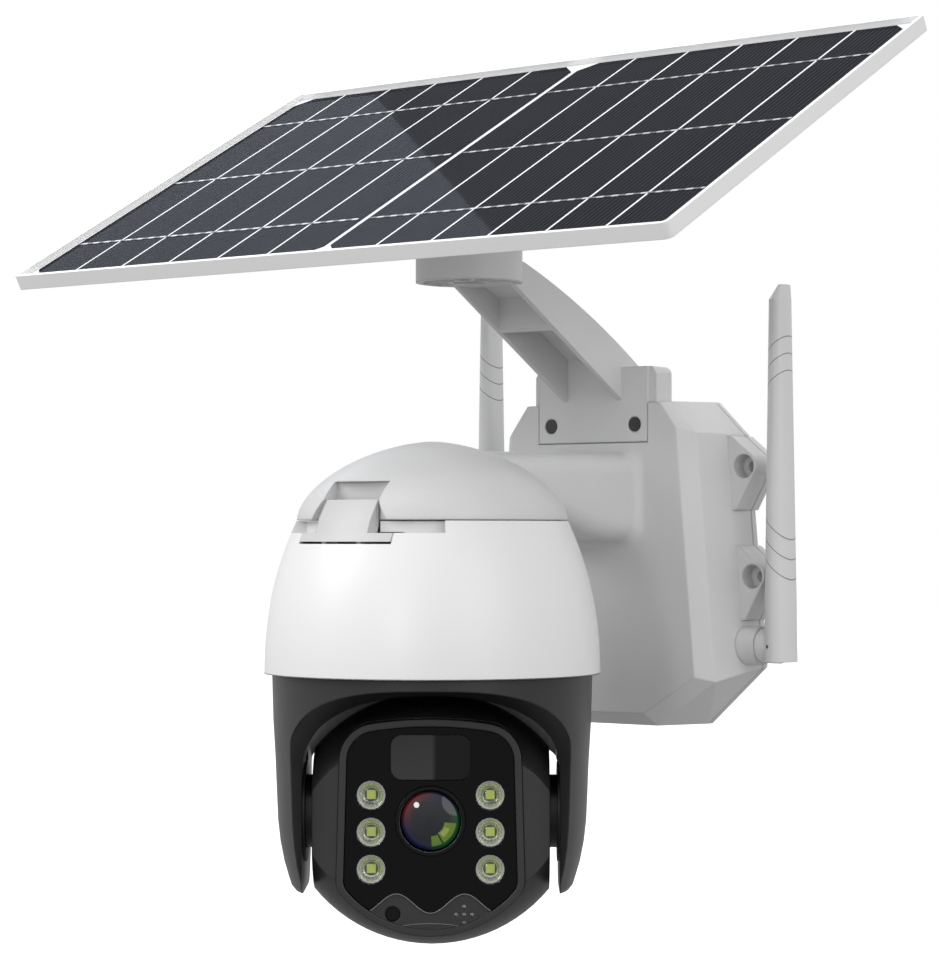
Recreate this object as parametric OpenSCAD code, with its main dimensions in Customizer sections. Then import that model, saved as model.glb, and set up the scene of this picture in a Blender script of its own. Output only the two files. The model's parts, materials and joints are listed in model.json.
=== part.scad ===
// Solar-powered pan and tilt security camera for a wall.
// Origin: on the wall plane, midway between the upper and the lower wall screws.
// +X is to the right of a person facing the wall, +Y goes into the wall, +Z is up.

/* [Wall box] */
// Distance from the wall to the front face of the box
box_d = 40; // [38:0.5:44]
// Distance from the wall to the seam between the two covers
seam_d = 5.2; // [4.5:0.1:6]
// Depth of the bevel round the front face
bevel_d = 6; // [4:0.5:8]
// Height of the top of the box above the origin
box_top = 49.5; // [48:0.5:52]
// Depth of the bottom of the box below the origin
box_bot = 84; // [82:0.5:88]
// Wall thickness of the plastic housings
wall = 2.4; // [2:0.1:3]
// Distance from the wall to the front face of the screw lugs
lug_d = 16; // [14:0.5:18]
// Half the distance between the two upper wall screws
lug_x_up = 59; // [58:0.5:60]
// Height of the upper wall screws
lug_z_up = 22.5; // [20:0.5:24]
// Half the distance between the two lower wall screws
lug_x_low = 63; // [62:0.5:63.5]
// Depth of the lower wall screws below the origin
lug_z_low = 22.5; // [20:0.5:24]
// Radius of the hole for a wall screw
lug_hole_r = 2.25; // [2:0.05:2.6]
// Radius of the recess for a wall screw's head
lug_sink_r = 4.9; // [4.2:0.1:4.9]

/* [Camera dome] */
// Distance from the wall to the axis of the dome
dome_y = 143.5; // [140:0.5:150]
// Outer radius of the white shell at its lower rim
dome_r = 64.8; // [64:0.1:67]
// Depth of the lower rim of the white shell below the origin
dome_rim = 58.5; // [58:0.1:59]
// Half the width of the neck between the box and the dome
neck_w = 23; // [21:0.5:25]
// Angle through which the camera is turned at rest
pan_rest = 38.5; // [0:0.5:60]
// Depth of the tilt axis below the origin
tilt_z = 112; // [111:0.5:113]
// Outer radius of the fork at its top
yoke_r = 61.8; // [61:0.1:62]
// Half the distance between the inner faces of the fork's arms
yoke_gap = 48; // [47.6:0.1:49]

/* [Camera head] */
// Half the width of the head between its flat sides
head_w = 45; // [44:0.1:45.5]
// Largest radius of the head
head_r = 48.3; // [47:0.1:48.6]
// Depth of the head's own centre line below the tilt axis
head_drop = 2.5; // [2:0.1:3]
// Distance from the pan axis to the front of the bezel
face_d = 31.5; // [31:0.1:33]
// Radius of the lens ring
lens_r = 13; // [12:0.1:13.5]
// Radius of one lamp lens
led_r = 5.4; // [5:0.1:5.8]
// Height between two lamps in a column
led_pitch = 13.9; // [13:0.1:14.5]
// Half the distance between the two lamp columns
led_x = 22.4; // [22:0.1:23]

/* [Solar panel] */
// Width of the panel
panel_w = 322; // [320:1:330]
// Length of the panel from its low edge to its high edge
panel_l = 195; // [194:1:200]
// Thickness of the panel's frame
panel_t = 6; // [5.5:0.1:7]
// Angle of the panel from level at rest
panel_tilt = 28.8; // [20:0.1:40]
// Pitch of the cell strips
strip_pitch = 26; // [25.5:0.1:26]
// Length of the cell strips
strip_l = 187.6; // [180:0.1:187.6]
// Distance from the wall to the axis of the panel's turntable
puck_y = 121; // [120:0.5:122]
// Radius of the round end of the bracket arm
puck_r = 21; // [20:0.5:22]
// Height of the panel's tilt bolt above the origin
bolt_z = 124; // [122:0.5:125]

/* [Antennas] */
// Distance from the centre plane to an antenna's axis
ant_x = 75; // [74.8:0.1:78]
// Distance from the wall to an antenna's axis
ant_d = 13.2; // [13:0.1:14]
// Depth of an antenna's pivot below the origin
ant_z = 50.7; // [50:0.1:52]
// Height of an antenna above its pivot
ant_h = 147; // [120:1:160]

/* [Hidden] */
$fn = 64;
eps = 0.01;
gap = 0.3;
HOUSING = [0.78, 0.78, 0.78];
WHITE = [0.93, 0.93, 0.93];
BLACK = [0.1, 0.1, 0.11];
STEEL = [0.7, 0.7, 0.72];
BOARD = [0.1, 0.35, 0.2];

// Outlines of the box as [half width, height] pairs, from the top edge down
face_pts = [[34, box_top - 1], [42, 38], [51, -63], [26, 5.5 - box_bot]];
bevel_pts = [[36.5, box_top - 0.5], [48.3, 36], [57.4, -65], [28.7, 0.4 - box_bot]];
seam_pts = [[38, box_top], [52.5, 35.5], [61, -60], [34, -box_bot]];
rear_pts = [[37, box_top - 0.5], [51, 35], [60, -59.5], [32.5, -box_bot]];
cover_d = 4.8;

// Screws that close the box, as [distance from the centre plane, height] pairs
box_screw_pts = [[44, -68], [36, 38]];
box_boss_r = 4;
box_screw_r = 1.2;
box_head_r = 3;

// Bracket plate in the top of the box
plate_w = 27.8;
plate_low = 32.6;
plate_top = 63.5;
plate_t = 2;
block_w = 31;
block_back = 25;
arm_w = 15;
arm_skin = 2.2;
rib_y = 86;
puck_low = 93.5;
puck_top = 106;
turn_t = 4;
turn_r = 19;

// Outer line of the dome shell, from its top edge down to its rim
shell_top_r = 52.5;
shell_steps = 24;
shell_pts = [
    for (i = [0:shell_steps]) let (t = i / shell_steps)
        [dome_r - (dome_r - shell_top_r) * pow(1 - t, 2.2), -dome_rim * t]
];
cap_h = 30.5;
cap_r = 52.4;
recess_in = 39.5;
recess_top = 14.4;
recess_flare = 19;
latch_w = 12.8;
foot_w = 22.5;
slot_a = 45;
slot_low = 4.9;
slot_in = 48.5;
foot_low = 8.2;
latch_pin_in = 51.8;
latch_pin_z = -6.7;
latch_pin_r = 0.8;
latch_lug_x = 7.5;
latch_lug_w = 2.2;

// Chassis inside the dome
chassis_z = -38;
chassis_r = 59.5;
chassis_screw_a = [30, 200, 310];
chassis_screw_at = 42.5;
chassis_screw_r = 1.2;
post_r = 3.6;

// Gears: module 1, so the pitch radius is half the number of teeth
pan_teeth = 60;
pan_pinion_teeth = 12;
pan_gear_z = -49;
pan_gear_t = 4;
tilt_teeth = 36;
tilt_pinion_teeth = 12;
gear_play = 0.3;
pinion_at = 150;

// Pan bearing and the hollow spindle of the fork that turns in it
hub_low = -44.6;
bearing_r = 13;
bearing_t = 6;
spindle_r = 10;
spindle_bore_r = 7;
spindle_top = -32.2;
gear_seat_r = 12.3;

tilt_motor_z = -(tilt_teeth + tilt_pinion_teeth) / 2 - gear_play;
tilt_motor_r = 10;

// Screws that join the two shells of the head
head_screw_x = 18;
head_screw_z = [38, -43];
head_screw_r = 1.3;
head_screw_head_r = 2.5;
head_post_r = 3.4;

axle_r = 5;
hub_r = 14;
turn_axle_r = 4;
bolt_r = 3;
run = 0.05;

// Panel, in the frame of its tilt bolt
panel_dy = 2.9;
glass_top = 21.8;
rim_top = glass_top + 1.1;
rim_w = 1.8;
strips = 6;
half_w = strips * strip_pitch;
half_gap = 2.2;
cell_gap = 1;
cell_cut = 7;

// ---------- shared shapes ----------

// A closed outline from the right-hand [half width, height] pairs
function mirror_pts(p) = concat(
    p, [for (i = [len(p) - 1:-1:0]) if (p[i][0] > 0.01) [-p[i][0], p[i][1]]]
);

// Points on an arc about c, from angle a to angle b in n steps
function arc(c, r, a, b, n) = [
    for (i = [0:n]) c + r * [cos(a + (b - a) * i / n), sin(a + (b - a) * i / n)]
];

// Extrudes an X-Z outline from distance y0 to distance y1 in front of the wall
module from_wall(y0, y1) {
    translate([0, -y0, 0]) rotate([90, 0, 0]) linear_extrude(y1 - y0) children();
}

// A cylinder along Y from distance y0 to distance y1 in front of the wall
module rod_y(r, y0, y1) {
    translate([0, -y0, 0]) rotate([90, 0, 0]) cylinder(r = r, h = y1 - y0);
}

// A cylinder along X from x0 to x1
module rod_x(r, x0, x1) {
    translate([x0, 0, 0]) rotate([0, 90, 0]) cylinder(r = r, h = x1 - x0);
}

module both_sides() {
    children();
    mirror([1, 0, 0]) children();
}

// Puts the children on the dome's axis, turned to the pan angle at rest
module at_camera() {
    translate([0, -dome_y, 0]) rotate([0, 0, pan_rest]) children();
}

// Puts the children on the head's tilt axis
module at_head() {
    at_camera() translate([0, 0, -tilt_z]) children();
}

// Puts the children in the tilted frame of the panel's bolt
module at_panel() {
    translate([0, -puck_y, bolt_z]) rotate([panel_tilt, 0, 0]) children();
}

// A gear of module 1 with straight-sided teeth, one tooth pointing along +X
function gear_pts(teeth) = [
    for (i = [0:teeth - 1], k = [0:3])
        let (side = k < 2 ? -1 : 1, tip = k == 1 || k == 2)
        let (a = 360 / teeth * (i + side * (tip ? 0.1 : 0.28)))
        let (r = teeth / 2 + (tip ? 0.75 : -1.1))
        [r * cos(a), r * sin(a)]
];

module gear(teeth, thick, bore_r) {
    difference() {
        linear_extrude(thick) polygon(gear_pts(teeth));
        translate([0, 0, -1]) cylinder(r = bore_r, h = thick + 2);
    }
}

// ---------- wall box ----------

module box_slice(p, d, inset) {
    translate([0, -d, 0]) rotate([90, 0, 0]) linear_extrude(eps)
        offset(delta = -inset) polygon(mirror_pts(p));
}

// The solid that fills the front cover, set in from its faces by inset
module box_fill(inset, back) {
    hull() {
        box_slice(face_pts, box_d - inset - eps, inset);
        box_slice(bevel_pts, box_d - bevel_d - inset / 2, inset);
        box_slice(seam_pts, back, inset);
    }
}

// Outline of one screw lug about its screw, reaching back into the side wall
function lug_pts() = concat(
    [[-9.5, 13], [-6, 12.4]],
    arc([0.2, 0.2], 5.8, 62, -42, 8),
    [[-3.5, -17.8], [-9.5, -18.2]]
);

module lugs(y0, y1) {
    both_sides() {
        translate([lug_x_up, 0, lug_z_up]) from_wall(y0, y1) polygon(lug_pts());
        translate([lug_x_low, 0, -lug_z_low]) from_wall(y0, y1) polygon(lug_pts());
    }
}

// Puts the children at the four screws that close the box
module at_box_screws() {
    both_sides() for (p = box_screw_pts) translate([p[0], 0, p[1]]) children();
}

module lug_bores(r, y0, y1) {
    both_sides() {
        translate([lug_x_up, 0, lug_z_up]) rod_y(r, y0, y1);
        translate([lug_x_low, 0, -lug_z_low]) rod_y(r, y0, y1);
    }
}

// Half width and height limits of the neck, and its distance from the wall.
// The neck flares into the box with a fillet and sinks towards the box below.
neck_top = 27.6;
neck_low = -8;
neck_corner = 8;
fillet = 4;
neck_steps = 6;
neck_level = 86;
neck_end = dome_y - 5;

// Height of the neck's underside at distance d: it rises to pass over the dome shell
function neck_under(d) = let (t = min(1, (d - box_d - fillet) / (neck_level - box_d - fillet)))
    neck_low + (0.2 - neck_low) * t * t;

function neck_ring(d, grow, low, top) = let (
    w = neck_w + grow - neck_corner,
    r = neck_corner,
    up = top + grow - r,
    dn = low - grow + r
) [
    for (q = [0:3], p = arc(
        [q == 0 || q == 3 ? w : -w, q < 2 ? up : dn], r, q * 90, q * 90 + 90, 8
    )) [p[0], -d, p[1]]
];

// Joins a list of equal rings of points into one closed solid
module loft(rings) {
    n = len(rings[0]);
    m = len(rings);
    polyhedron(
        points = [for (ring = rings, p = ring) p],
        faces = concat(
            [[for (i = [0:n - 1]) i]],
            [for (k = [0:m - 2], i = [0:n - 1])
                [k * n + i, (k + 1) * n + i, (k + 1) * n + (i + 1) % n, k * n + (i + 1) % n]],
            [[for (i = [n - 1:-1:0]) (m - 1) * n + i]]
        )
    );
}

module neck(inset) {
    loft(concat(
        [neck_ring(box_d - 1, fillet - inset, neck_low, neck_top)],
        [for (i = [0:neck_steps])
            let (a = 90 * i / neck_steps)
            neck_ring(
                box_d + fillet * (1 - cos(a)), fillet * (1 - sin(a)) - inset,
                neck_low, neck_top
            )],
        [for (i = [1:neck_steps])
            let (d = box_d + fillet + (neck_level - box_d - fillet) * i / neck_steps)
            neck_ring(d, -inset, neck_under(d), neck_top - 0.4 * i / neck_steps)],
        [neck_ring(neck_end, -inset, neck_under(neck_end), neck_top - 0.8)]
    ));
}

// Outer line of the round cap over the dome
function cap_line(r, h, n) = [
    for (i = [0:n]) let (a = 90 * i / n) [r * pow(cos(a), 1.2), h * pow(sin(a), 1.15)]
];

module cap_fill(r, h) {
    translate([0, -dome_y, 0]) rotate_extrude($fn = 96)
        polygon(concat([[0, 0]], [for (p = cap_line(r, h, 18)) [max(p[0], 0), p[1]]]));
}

module front_housing() color(HOUSING) difference() {
    union() {
        difference() {
            box_fill(0, seam_d);
            box_fill(wall, seam_d - 1);
        }
        intersection() {
            box_fill(eps, seam_d);
            at_box_screws() rod_y(box_boss_r, seam_d, box_d - 1);
        }
        translate([-block_w, -box_d + 1, plate_low - 4])
            cube([2 * block_w, 5, box_top - plate_low + 2]);
        difference() {
            lugs(seam_d, lug_d);
            box_fill(wall, seam_d - 1);
        }
        difference() {
            union() {
                neck(0);
                cap_fill(cap_r, cap_h);
            }
            neck(wall);
            cap_fill(cap_r - wall, cap_h - wall);
        }
        // Pocket behind the latch, and the posts that hold the chassis
        intersection() {
            cap_fill(cap_r - eps, cap_h - eps);
            union() {
                translate([-recess_flare - 2, -dome_y - 60, 0])
                    cube([2 * recess_flare + 4, 60 - recess_in + 2, recess_top + 2]);
                at_chassis_screws() cylinder(r = post_r, h = 16);
            }
        }
    }
    // The duct for the cable runs from the box into the dome
    from_wall(box_d - 6, box_d + 12)
        translate([-neck_w + 6, neck_low + 5]) square([2 * neck_w - 12, 20]);
    from_wall(dome_y - 60, dome_y - 20)
        translate([-neck_w + 6, 3]) square([2 * neck_w - 12, 18]);
    // Seat of the bracket plate and of its block
    from_wall(box_d - plate_t - gap, box_d + 1)
        translate([-plate_w - gap, plate_low - gap]) square([2 * (plate_w + gap), 30]);
    from_wall(block_back - gap, box_d - plate_t + gap)
        translate([-block_w - gap, box_top - 1.2]) square([2 * (block_w + gap), 9]);
    both_sides() translate([21.5, 0, 39.8]) rod_y(1.3, box_d - 7, box_d);
    at_box_screws() rod_y(box_screw_r + 0.1, 0, 20);
    lug_bores(lug_hole_r, 0, lug_d + 1);
    lug_bores(lug_sink_r, seam_d + 3.5, lug_d + 1);
    both_sides() translate([0, -ant_d, -ant_z]) rod_x(5, 40, 70);
    // Finger recess over the latch and the strap's own seat, flared at the foot
    from_wall(dome_y + recess_in, dome_y + 60)
        translate([-latch_w - 0.8, -1]) square([2 * latch_w + 1.6, recess_top + 1]);
    from_wall(dome_y + recess_in + 7, dome_y + 60) polygon([
        [-recess_flare, -1], [-latch_w, 9], [latch_w, 9], [recess_flare, -1]
    ]);
    at_chassis_screws() translate([0, 0, -1]) cylinder(r = chassis_screw_r + 0.1, h = 9);
}

module rear_cover() color(HOUSING) difference() {
    union() {
        difference() {
            union() {
                hull() {
                    box_slice(seam_pts, cover_d, 0);
                    box_slice(seam_pts, 2, 0);
                    box_slice(rear_pts, 0, 0);
                }
                lugs(0, cover_d);
            }
            from_wall(wall, cover_d + 1) offset(delta = -4.5) polygon(mirror_pts(seam_pts));
        }
        at_box_screws() rod_y(box_boss_r, eps, cover_d);
    }
    lug_bores(lug_hole_r, -1, 10);
    at_box_screws() rod_y(box_screw_r + 0.6, -1, 10);
    at_box_screws() rod_y(box_head_r + 0.3, -1, 2);
}

module box_gasket() color("dimgray") from_wall(wall + gap, seam_d + 1.6) difference() {
    offset(delta = -5) polygon(mirror_pts(seam_pts));
    // The strip runs inside the screw bosses and round them
    difference() {
        offset(delta = -6.6) polygon(mirror_pts(seam_pts));
        both_sides() for (p = box_screw_pts) translate(p) circle(r = box_boss_r + 2.2);
    }
    both_sides() for (p = box_screw_pts) translate(p) circle(r = box_boss_r + 0.6);
}

module box_screws() color(STEEL) at_box_screws() {
    rod_y(box_head_r, 0.4, 1.9);
    rod_y(box_screw_r, 1.9, 16);
}

cell_r = 9.15;
cell_l = 65;
cell_z = [-66, -46.5, -27, -7.5];

module battery_tray() color(BLACK) difference() {
    translate([-36, -25, -76.5]) cube([72, 18, 79.5]);
    for (z = cell_z) translate([0, -21, z]) rod_x(cell_r + 0.2, -33, 33);
    translate([-33, -31, -74]) cube([66, 9, 76]);
}

module battery_cells() color("steelblue") for (z = cell_z) translate([0, -21, z])
    rod_x(cell_r, -cell_l / 2, cell_l / 2);

module charge_board() {
    color(BOARD) translate([-28, -22, 6]) cube([56, 1.6, 24]);
    color(BLACK) {
        translate([-20, -26, 10]) cube([12, 4, 12]);
        translate([4, -29, 12]) cube([14, 7, 10]);
    }
}

// ---------- bracket that carries the panel ----------

// The back of the arm: an arc between the turntable seat and the block
arm_a = [-105, 102];
arm_b = [-27.5, 64];
arm_bow = 2.4;

function bow_pts(a, b, bow, n) = let (
    c = norm(b - a) / 2,
    r = (c * c + bow * bow) / (2 * bow),
    u = (b - a) / (2 * c),
    v = [-u[1], u[0]],
    mid = (a + b) / 2 - v * (r - bow),
    half = asin(c / r)
) [for (i = [0:n]) let (t = half * (2 * i / n - 1)) mid + r * (u * sin(t) + v * cos(t))];

module arm_side(drop) {
    polygon(concat(
        [[-112.5, puck_low], [-112.5, 103 - drop]],
        [for (p = bow_pts(arm_a, arm_b, arm_bow, 16)) p - [0, drop]],
        [[-27.5, 60 - drop], [-box_d, 50]]
    ));
}

// Extrudes a Y-Z outline between x0 and x1
module across(x0, x1) {
    translate([x0, 0, 0]) rotate([90, 0, 90]) linear_extrude(x1 - x0) children();
}

module bracket_arm() color(HOUSING) difference() {
    union() {
        from_wall(box_d - plate_t, box_d)
            translate([-plate_w, plate_low]) square([2 * plate_w, plate_top - plate_low]);
        hull() both_sides() {
            translate([block_w - 3, -block_back - 3, box_top - 1]) cylinder(r = 3, h = 11);
            translate([block_w - 3, -block_back - 3, plate_top - 3]) sphere(r = 3, $fn = 32);
            translate([block_w - 1, -box_d + plate_t, box_top - 1])
                cube([1, 0.5, plate_top - box_top - 2]);
            translate([block_w - 3, -box_d + plate_t, box_top - 1])
                cube([1, 0.5, plate_top - box_top + 1]);
        }
        difference() {
            across(-arm_w, arm_w) arm_side(0);
            across(-arm_w + arm_skin, arm_w - arm_skin) intersection() {
                translate([0, -2]) arm_side(2.4);
                translate([-130, 40]) square([130 - box_d, 70]);
            }
        }
        intersection() {
            across(-arm_w, arm_w) arm_side(0);
            translate([-arm_w, -rib_y, 60]) cube([2 * arm_w, 2.5, 50]);
        }
        translate([0, -puck_y, puck_low]) cylinder(r = puck_r, h = puck_top - puck_low);
    }
    both_sides() translate([21.5, 0, 39.8]) rod_y(1.7, box_d - 6, box_d + 1);
    both_sides() translate([21.5, 0, 39.8]) rod_y(3.2, box_d - 0.8, box_d + 1);
    translate([0, -puck_y, puck_low]) {
        translate([0, 0, 3.2]) cylinder(r = turn_axle_r + run, h = 20);
        translate([0, 0, -1]) cylinder(r = 6.5, h = 4.2);
        // Cored underside with ribs between the hub and the rim
        difference() {
            translate([0, 0, -1]) cylinder(r = puck_r - 2.5, h = 5);
            translate([0, 0, -2]) cylinder(r = 8.5, h = 7);
            for (a = [15:30:165]) rotate([0, 0, a])
                translate([-puck_r, -0.7, -2]) cube([2 * puck_r, 1.4, 7]);
            translate([-arm_w, 4, -2]) cube([2 * arm_w, 20, 7]);
        }
    }
}

module bracket_screws() color(STEEL) both_sides() translate([21.5, 0, 39.8]) {
    rod_y(2.9, box_d - 0.8, box_d - 0.1);
    rod_y(1.2, box_d - 6.5, box_d - 0.8);
}

module panel_swivel() color(HOUSING) translate([0, -puck_y, 0]) difference() {
    union() {
        translate([0, 0, puck_top + gap]) cylinder(r = turn_r, h = turn_t);
        translate([0, 0, puck_low + 4]) cylinder(r = turn_axle_r, h = 13);
        both_sides() {
            translate([5.4, -8.5, puck_top + 1]) cube([4, 17, bolt_z - puck_top - 1]);
            translate([0, 0, bolt_z]) rod_x(8.5, 5.4, 9.4);
        }
    }
    translate([0, 0, bolt_z]) rod_x(bolt_r + run, -20, 20);
    translate([0, 0, puck_low]) cylinder(r = 1.6, h = 12);
}

module swivel_screw() color(STEEL) translate([0, -puck_y, puck_low]) {
    translate([0, 0, 0.6]) cylinder(r = 6, h = 2.3);
    translate([0, 0, 2.9]) cylinder(r = 1.5, h = 8);
}

module tilt_bolt() color(STEEL) translate([0, -puck_y, bolt_z]) {
    rod_x(bolt_r, -9.7, 20);
    rod_x(5.5, -13.5, -9.7, $fn = 6);
}

module tilt_knob() color(BLACK) translate([0, -puck_y, bolt_z]) difference() {
    union() {
        rod_x(7, 9.8, 20.5);
        for (a = [0:60:300]) rotate([a, 0, 0]) translate([0, 6.5, 0]) rod_x(2.6, 9.8, 18);
    }
    rod_x(bolt_r + run, 9, 20.1);
}

module panel_bracket() color(HOUSING) at_panel() difference() {
    union() {
        translate([-34, -18 + panel_dy, rim_top - panel_t - 3.2]) cube([68, 36, 3]);
        translate([-5, -8, 0]) cube([10, 16, rim_top - panel_t - 1]);
        rod_x(8, -5, 5);
    }
    rod_x(bolt_r + run, -20, 20);
    both_sides() for (y = [-13, 13])
        translate([28, y + panel_dy, 10]) cylinder(r = 1.7, h = 10);
}

module bracket_rivets() color(STEEL) at_panel() both_sides() for (y = [-13, 13])
    translate([28, y + panel_dy, rim_top - panel_t - 4.4]) {
        cylinder(r = 3, h = 1.1);
        cylinder(r = 1.6, h = 5.4);
    }

// ---------- solar panel ----------

module panel_plate(w, l, z0, z1, r) {
    translate([0, panel_dy, z0]) linear_extrude(z1 - z0) rounded(w, l, r);
}

module rounded(w, l, r) {
    polygon(mirror_pts(concat(
        arc([w / 2 - r, l / 2 - r], r, 90, 0, 6),
        arc([w / 2 - r, r - l / 2], r, 0, -90, 6)
    )));
}

module panel_frame() color(WHITE) at_panel() difference() {
    panel_plate(panel_w, panel_l, rim_top - panel_t, rim_top, 3);
    panel_plate(panel_w - 2 * rim_w, panel_l - 2 * rim_w, glass_top - 2.8, rim_top + 1, 1.5);
    panel_plate(panel_w - 16, panel_l - 16, 0, rim_top, 2);
}

module backsheet() color(WHITE) at_panel() difference() {
    panel_plate(
        panel_w - 2 * rim_w - 0.4, panel_l - 2 * rim_w - 0.4,
        glass_top - 2.7, glass_top - 1.3, 1.5
    );
    both_sides() for (y = [-13, 13])
        translate([28, y + panel_dy, 0]) cylinder(r = 1.7, h = 19.6);
}

// One strip of a half panel; the end strips have cut corners
module strip(i) {
    w = (strip_pitch - cell_gap) / 2;
    l = strip_l / 2;
    cl = i == 0 ? cell_cut : 0;
    cr = i == strips - 1 ? cell_cut : 0;
    polygon([
        [-w, cl - l], [cl - w, -l], [w - cr, -l], [w, cr - l],
        [w, l - cr], [w - cr, l], [cl - w, l], [-w, l - cl]
    ]);
}

module solar_cells() color("midnightblue") at_panel()
    translate([0, panel_dy, glass_top - 1.2]) for (side = [-1, 1], i = [0:strips - 1])
        translate([side * (half_w + half_gap) / 2 + (i - (strips - 1) / 2) * strip_pitch, 0, 0])
            linear_extrude(0.3) strip(i);

module ribbons() color("silver") at_panel()
    translate([0, panel_dy, glass_top - 0.85]) for (side = [-1, 1], k = [-1:1])
        translate([side * (half_w + half_gap) / 2, k * strip_l / 3, 0.075])
            cube([half_w - 4, 1.2, 0.15], center = true);

module panel_glass() color([0.8, 0.85, 0.9, 0.3]) at_panel() panel_plate(
    panel_w - 2 * rim_w - 0.4, panel_l - 2 * rim_w - 0.4, glass_top - 0.65, glass_top, 1.5
);

module junction_box() color(BLACK) at_panel() translate([-30, 48, glass_top - 2.8])
    mirror([0, 0, 1]) cube([60, 32, 12]);

// ---------- dome ----------

module shell_fill(inset, low) {
    rotate_extrude($fn = 128) polygon(concat(
        [[0, -gap]],
        [for (p = shell_pts) [p[0] - inset, p[1] - gap]],
        [[dome_r - inset, low], [0, low]]
    ));
}

module dome_shell() color(WHITE) translate([0, -dome_y, 0]) difference() {
    union() {
        difference() {
            shell_fill(0, -dome_rim);
            shell_fill(wall, -dome_rim - 1);
        }
        // Lip that centres the shell in the cap
        difference() {
            translate([0, 0, -3]) cylinder(r = 48.6, h = 5.4);
            translate([0, 0, -4]) cylinder(r = 47, h = 8);
            translate([-60, -60, -10]) cube([120, 50, 20]);
            translate([-neck_w - 1, 0, -10]) cube([2 * neck_w + 2, 60, 20]);
        }
        // Joins the lip to the shell
        difference() {
            translate([0, 0, -3]) cylinder(r = 51.5, h = 2.7);
            translate([0, 0, -4]) cylinder(r = 47, h = 8);
            translate([-60, -60, -10]) cube([120, 50, 20]);
        }
        // Floor and back wall of the slot that the latch strap crosses
        intersection() {
            shell_fill(0.6, -40);
            difference() {
                translate([0, 0, -slot_low - 2]) linear_extrude(slot_low + 1.6)
                    slot_area(slot_a + 3);
                translate([0, 0, -20]) cylinder(r = slot_in - 1.6, h = 30);
            }
        }
        both_sides() intersection() {
            shell_fill(0.6, -40);
            translate([latch_lug_x, -57, -14]) cube([latch_lug_w, 11, 8.5]);
        }
    }
    difference() {
        translate([0, 0, -slot_low]) linear_extrude(slot_low + 3) slot_area(slot_a);
        translate([0, 0, -slot_low - 1]) cylinder(r = slot_in, h = 9);
    }
    // Seats of the latch's foot and of its strap
    difference() {
        translate([-foot_w - gap, -70, -foot_low - 0.8])
            cube([2 * (foot_w + gap), 27, foot_low - slot_low + 1.1]);
        latch_lug_room(0);
    }
    difference() {
        translate([-latch_w - 0.8, -70, -foot_low]) cube([2 * latch_w + 1.6, 27, 12]);
        latch_lug_room(0);
    }
    at_latch_pin() rod_x(latch_pin_r + 0.02, -9.8, 9.8);
}

// Sector in front of the dome, out to angle a on each side
module slot_area(a) {
    polygon(concat([[0, 0]], arc([0, 0], 80, -90 - a, -90 + a, 8)));
}

module latch_lug_room(grow) {
    both_sides() translate([latch_lug_x - grow, -53.2 - grow, -16])
        cube([latch_lug_w + 2 * grow, 7.2 + grow, 10.5 + grow]);
}

module latch_pin() color(STEEL) translate([0, -dome_y, 0]) at_latch_pin()
    rod_x(latch_pin_r, -9.6, 9.6);

module at_latch_pin() {
    translate([0, -latch_pin_in, latch_pin_z]) children();
}

// Profile of the latch's outer face in the plane through its middle
module front_latch() color(WHITE) translate([0, -dome_y, 0]) difference() {
    intersection() {
        rotate_extrude($fn = 128) polygon([
            [56.3, -foot_low], [54.6, -slot_low], [52.9, 0], [50.6, 4], [48.4, 7.6],
            [43.5, 7.6], [45.4, 4], [47.6, 0], [48.9, -slot_low], [50.2, -foot_low]
        ]);
        union() {
            translate([-latch_w, -60, -slot_low - 1]) cube([2 * latch_w, 30, 20]);
            translate([-foot_w, -60, -foot_low]) cube([2 * foot_w, 30, foot_low - slot_low]);
        }
    }
    latch_lug_room(gap);
    at_latch_pin() rod_x(latch_pin_r + run, -10, 10);
}

// Puts the children on the three screws that hold the chassis under the cap
module at_chassis_screws() {
    translate([0, -dome_y, 0]) for (a = chassis_screw_a) rotate([0, 0, a])
        translate([chassis_screw_at, 0, 0]) children();
}

module chassis() color(BLACK) difference() {
    union() {
        translate([0, -dome_y, chassis_z]) cylinder(r = chassis_r, h = 3);
        translate([0, -dome_y, hub_low]) cylinder(r = bearing_r + 4, h = chassis_z - hub_low + 1);
        at_chassis_screws() translate([0, 0, chassis_z]) cylinder(r = post_r, h = -chassis_z - gap);
    }
    translate([0, -dome_y, hub_low - 1]) cylinder(r = bearing_r, h = bearing_t + 1.2);
    translate([0, -dome_y, hub_low - 1]) cylinder(r = spindle_r + 1.5, h = 20);
    at_chassis_screws() translate([0, 0, chassis_z - 1])
        cylinder(r = chassis_screw_r + 0.3, h = 60);
    at_pan_pinion() translate([0, 0, chassis_z - 20]) cylinder(r = 8, h = 30);
    // Holes that let the leads through
    translate([0, -dome_y, 0]) for (a = [30, 270]) rotate([0, 0, a])
        translate([28, 0, chassis_z - 20]) cylinder(r = 5, h = 30);
}

module chassis_screws() color(STEEL) at_chassis_screws() translate([0, 0, chassis_z - 2.2]) {
    cylinder(r = 3, h = 2.1);
    cylinder(r = chassis_screw_r, h = 9 - chassis_z);
}

module at_pan_pinion() {
    translate([0, -dome_y, 0]) rotate([0, 0, pinion_at])
        translate([(pan_teeth + pan_pinion_teeth) / 2 + gear_play, 0, 0]) children();
}

module pan_motor() color(STEEL) at_pan_pinion() difference() {
    union() {
        translate([0, 0, chassis_z + 3.2]) cylinder(r = 14, h = 19);
        translate([0, 0, chassis_z - 7]) cylinder(r = 2.5, h = 12);
        translate([-17.5, -3.5, chassis_z + 3.2]) cube([35, 7, 1]);
    }
    for (x = [-15.8, 15.8]) translate([x, 0, chassis_z]) cylinder(r = 1.2, h = 10);
}

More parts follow.
